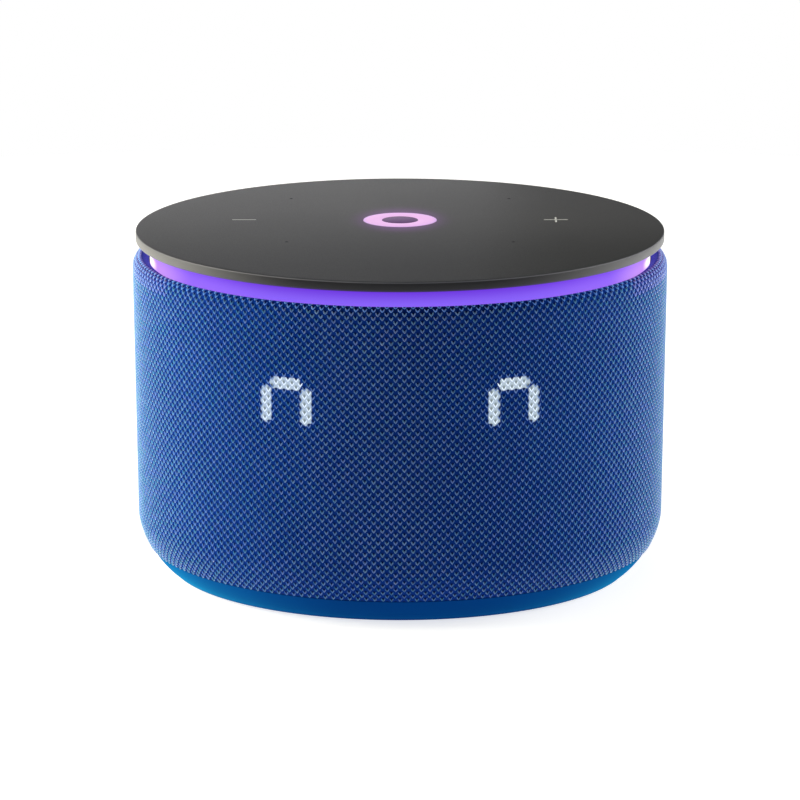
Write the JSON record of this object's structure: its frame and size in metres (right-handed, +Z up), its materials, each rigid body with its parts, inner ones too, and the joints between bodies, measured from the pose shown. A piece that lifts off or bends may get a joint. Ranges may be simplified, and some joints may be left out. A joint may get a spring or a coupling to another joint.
{
  "type": "smart speaker",
  "caption": "Low round fabric-covered smart speaker with a flat touch plate on top, a light ring below it, segment digits lit through the fabric, a plastic base and a rear power socket.",
  "frame": {"origin": "centre of the footprint, on the plane that the foot ring stands on", "axes": "+Z up through the top plate, front with the digits towards -Y, minus mark towards -X"},
  "size_m": [0.162, 0.162, 0.105],
  "materials": {
    "fabric": "knitted, matt",
    "plate_metal": "fine satin",
    "blue_plastic": "satin",
    "black_plastic": "moulded, matt",
    "panel_plastic": "moulded, fine texture",
    "ring_light": "lit diffuser",
    "icon_light": "lit lens",
    "display_light": "lit segments",
    "clear_plastic": "frosted",
    "print": "pad printed",
    "rubber": "matt",
    "circuit_board": "solder mask",
    "steel": "plated",
    "aluminium": "satin",
    "cone_paper": "pressed pulp",
    "ferrite": "sintered",
    "flat_cable": "laminated film"
  },
  "bodies": {
    "root": {"fabric_sleeve": "fabric", "top_plate": "plate_metal", "icon_centre_cap": "plate_metal", "base_ring": "blue_plastic", "grille_shell": "black_plastic", "upper_frame": "black_plastic", "bottom_cover": "black_plastic", "speaker_enclosure": "black_plastic", "enclosure_lid": "black_plastic", "sound_deflector": "black_plastic", "segment_mask": "black_plastic", "radiator_frame_left": "black_plastic", "radiator_frame_right": "black_plastic", "tweeter_left": "black_plastic", "tweeter_right": "black_plastic", "mute_switch": "black_plastic", "port_panel": "panel_plastic", "light_ring_diffuser": "ring_light", "icon_ring_lens": "icon_light", "segment_diffuser": "display_light", "icon_light_guide": "clear_plastic", "minus_mark": "print", "plus_mark": "print", "foot_ring": "rubber", "enclosure_gasket": "rubber", "woofer_surround": "rubber", "radiator_surround_left": "rubber", "radiator_surround_right": "rubber", "microphone_gasket_1": "rubber", "microphone_gasket_2": "rubber", "microphone_gasket_3": "rubber", "microphone_gasket_4": "rubber", "touch_board": "circuit_board", "light_ring_board": "circuit_board", "display_board": "circuit_board", "main_board": "circuit_board", "port_board": "circuit_board", "antenna": "circuit_board", "power_socket": "steel", "woofer_basket": "steel", "woofer_yoke": "steel", "touch_board_screw_1": "steel", "touch_board_screw_2": "steel", "touch_board_screw_3": "steel", "base_screw_1": "steel", "base_screw_2": "steel", "base_screw_3": "steel", "base_screw_4": "steel", "heat_sink": "aluminium", "woofer_spider": "cone_paper", "woofer_magnet": "ferrite", "touch_cable": "flat_cable", "display_cable": "flat_cable", "port_cable": "flat_cable"},
    "woofer": {"woofer_cone": "cone_paper", "dust_cap": "cone_paper"},
    "radiator_left": {"radiator_plate_left": "aluminium"},
    "radiator_right": {"radiator_plate_right": "aluminium"},
    "mute_button": {"mute_button": "panel_plastic"}
  },
  "joints": [
    {"name": "woofer_travel", "type": "slide", "parent": "root", "child": "woofer", "axis": [0, 0, -1], "range_m": [-0.003, 0.003], "stiffness_N_per_m": 1200, "deforming": ["woofer_surround", "woofer_spider"]},
    {"name": "radiator_left_travel", "type": "slide", "parent": "root", "child": "radiator_left", "axis": [-1, 0, 0], "range_m": [-0.003, 0.003], "stiffness_N_per_m": 600},
    {"name": "radiator_right_travel", "type": "slide", "parent": "root", "child": "radiator_right", "axis": [1, 0, 0], "range_m": [-0.003, 0.003], "stiffness_N_per_m": 600},
    {"name": "mute_press", "type": "slide", "parent": "root", "child": "mute_button", "axis": [0, -1, 0], "range_m": [0, 0.0008], "stiffness_N_per_m": 600, "springref_m": -0.0005}
  ],
  "couplings": [
    {"joint": "radiator_left_travel", "follows": "woofer_travel", "ratio": -0.9},
    {"joint": "radiator_right_travel", "follows": "woofer_travel", "ratio": -0.9}
  ]
}
